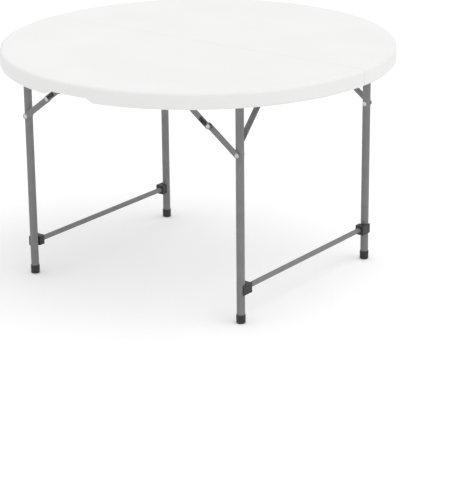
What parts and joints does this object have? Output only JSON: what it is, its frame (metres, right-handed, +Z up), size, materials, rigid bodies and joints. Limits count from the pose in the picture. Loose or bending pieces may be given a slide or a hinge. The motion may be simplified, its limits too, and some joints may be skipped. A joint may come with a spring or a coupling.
{
  "type": "round folding table",
  "caption": "Round folding table with a white moulded two-part top on folding grey tube legs with locking braces.",
  "frame": {"origin": "on the floor under the centre of the round top", "axes": "+Z up, X along the seam of the top, Y along the crossbars from the front half to the rear half"},
  "size_m": [1.22, 1.22, 0.74],
  "materials": {
    "top_plastic": "fine grain, satin",
    "grey_paint": "powder coat, satin",
    "plated_steel": "zinc plated",
    "black_plastic": "moulded, satin"
  },
  "bodies": {
    "top": {"top_half_front": "top_plastic", "top_half_rear": "top_plastic", "pivot_brackets_front": "grey_paint", "pivot_brackets_rear": "grey_paint", "brace_brackets_front": "plated_steel", "brace_brackets_rear": "plated_steel", "bracket_screws_front": "plated_steel", "bracket_screws_rear": "plated_steel", "handle_bracket_front": "black_plastic", "handle_bracket_rear": "black_plastic", "handle_pins_front": "plated_steel", "handle_pins_rear": "plated_steel", "hinge_leaves_front": "plated_steel", "hinge_leaves_rear": "plated_steel", "hinge_pins": "plated_steel"},
    "leg_front_left": {"leg_tube_front_left": "grey_paint", "pivot_tube_front_left": "grey_paint", "gusset_front_left": "grey_paint", "foot_cap_front_left": "black_plastic", "leg_rivet_front_left": "plated_steel"},
    "lower_link_body_front_left": {"lower_link_front_left": "grey_paint"},
    "upper_link_body_front_left": {"upper_link_front_left": "grey_paint", "middle_rivet_front_left": "plated_steel", "brace_lock_front_left": "black_plastic"},
    "leg_front_right": {"leg_tube_front_right": "grey_paint", "pivot_tube_front_right": "grey_paint", "gusset_front_right": "grey_paint", "foot_cap_front_right": "black_plastic", "leg_rivet_front_right": "plated_steel"},
    "lower_link_body_front_right": {"lower_link_front_right": "grey_paint"},
    "upper_link_body_front_right": {"upper_link_front_right": "grey_paint", "middle_rivet_front_right": "plated_steel", "brace_lock_front_right": "black_plastic"},
    "leg_back_left": {"leg_tube_back_left": "grey_paint", "pivot_tube_back_left": "grey_paint", "gusset_back_left": "grey_paint", "foot_cap_back_left": "black_plastic", "leg_rivet_back_left": "plated_steel"},
    "lower_link_body_back_left": {"lower_link_back_left": "grey_paint"},
    "upper_link_body_back_left": {"upper_link_back_left": "grey_paint", "middle_rivet_back_left": "plated_steel", "brace_lock_back_left": "black_plastic"},
    "leg_back_right": {"leg_tube_back_right": "grey_paint", "pivot_tube_back_right": "grey_paint", "gusset_back_right": "grey_paint", "foot_cap_back_right": "black_plastic", "leg_rivet_back_right": "plated_steel"},
    "lower_link_body_back_right": {"lower_link_back_right": "grey_paint"},
    "upper_link_body_back_right": {"upper_link_back_right": "grey_paint", "middle_rivet_back_right": "plated_steel", "brace_lock_back_right": "black_plastic"},
    "crossbar_body_left": {"crossbar_left": "grey_paint", "crossbar_clips_left": "black_plastic"},
    "crossbar_body_right": {"crossbar_right": "grey_paint", "crossbar_clips_right": "black_plastic"},
    "handle_front": {"carry_handle_front": "black_plastic"},
    "handle_rear": {"carry_handle_rear": "black_plastic"}
  },
  "joints": [
    {"name": "leg_fold_front_left", "type": "hinge", "parent": "top", "child": "leg_front_left", "pos_m": [-0.388, -0.36, 0.7045], "axis": [0, -1, 0], "range_deg": [0, 90]},
    {"name": "lower_link_turn_front_left", "type": "hinge", "parent": "leg_front_left", "child": "lower_link_body_front_left", "pos_m": [-0.388, -0.36, 0.52], "axis": [0, -1, 0], "range_deg": [0, 54]},
    {"name": "upper_link_turn_front_left", "type": "hinge", "parent": "top", "child": "upper_link_body_front_left", "pos_m": [-0.14, -0.36, 0.7045], "axis": [0, -1, 0], "range_deg": [-37, 0]},
    {"name": "leg_fold_front_right", "type": "hinge", "parent": "top", "child": "leg_front_right", "pos_m": [0.388, -0.308, 0.7045], "axis": [0, 1, 0], "range_deg": [0, 90]},
    {"name": "lower_link_turn_front_right", "type": "hinge", "parent": "leg_front_right", "child": "lower_link_body_front_right", "pos_m": [0.388, -0.308, 0.52], "axis": [0, 1, 0], "range_deg": [0, 54]},
    {"name": "upper_link_turn_front_right", "type": "hinge", "parent": "top", "child": "upper_link_body_front_right", "pos_m": [0.14, -0.308, 0.7045], "axis": [0, 1, 0], "range_deg": [-37, 0]},
    {"name": "leg_fold_back_left", "type": "hinge", "parent": "top", "child": "leg_back_left", "pos_m": [-0.388, 0.308, 0.7045], "axis": [0, -1, 0], "range_deg": [0, 90]},
    {"name": "lower_link_turn_back_left", "type": "hinge", "parent": "leg_back_left", "child": "lower_link_body_back_left", "pos_m": [-0.388, 0.308, 0.52], "axis": [0, -1, 0], "range_deg": [0, 54]},
    {"name": "upper_link_turn_back_left", "type": "hinge", "parent": "top", "child": "upper_link_body_back_left", "pos_m": [-0.14, 0.308, 0.7045], "axis": [0, -1, 0], "range_deg": [-37, 0]},
    {"name": "leg_fold_back_right", "type": "hinge", "parent": "top", "child": "leg_back_right", "pos_m": [0.388, 0.36, 0.7045], "axis": [0, 1, 0], "range_deg": [0, 90]},
    {"name": "lower_link_turn_back_right", "type": "hinge", "parent": "leg_back_right", "child": "lower_link_body_back_right", "pos_m": [0.388, 0.36, 0.52], "axis": [0, 1, 0], "range_deg": [0, 54]},
    {"name": "upper_link_turn_back_right", "type": "hinge", "parent": "top", "child": "upper_link_body_back_right", "pos_m": [0.14, 0.36, 0.7045], "axis": [0, 1, 0], "range_deg": [-37, 0]},
    {"name": "crossbar_pull_left", "type": "slide", "parent": "top", "child": "crossbar_body_left", "axis": [-1, 0, 0], "range_m": [0, 0.06]},
    {"name": "crossbar_pull_right", "type": "slide", "parent": "top", "child": "crossbar_body_right", "axis": [1, 0, 0], "range_m": [0, 0.06]},
    {"name": "handle_swing_front", "type": "hinge", "parent": "top", "child": "handle_front", "pos_m": [0, -0.572, 0.697], "axis": [-1, 0, 0], "range_deg": [0, 180]},
    {"name": "handle_swing_rear", "type": "hinge", "parent": "top", "child": "handle_rear", "pos_m": [0, 0.572, 0.697], "axis": [1, 0, 0], "range_deg": [0, 180]}
  ],
  "couplings": [
    {"joint": "lower_link_turn_front_left", "follows": "leg_fold_front_left", "ratio": 0.59281},
    {"joint": "upper_link_turn_front_left", "follows": "leg_fold_front_left", "ratio": -0.40719},
    {"joint": "lower_link_turn_front_right", "follows": "leg_fold_front_right", "ratio": 0.59281},
    {"joint": "upper_link_turn_front_right", "follows": "leg_fold_front_right", "ratio": -0.40719},
    {"joint": "lower_link_turn_back_left", "follows": "leg_fold_back_left", "ratio": 0.59281},
    {"joint": "upper_link_turn_back_left", "follows": "leg_fold_back_left", "ratio": -0.40719},
    {"joint": "lower_link_turn_back_right", "follows": "leg_fold_back_right", "ratio": 0.59281},
    {"joint": "upper_link_turn_back_right", "follows": "leg_fold_back_right", "ratio": -0.40719}
  ]
}
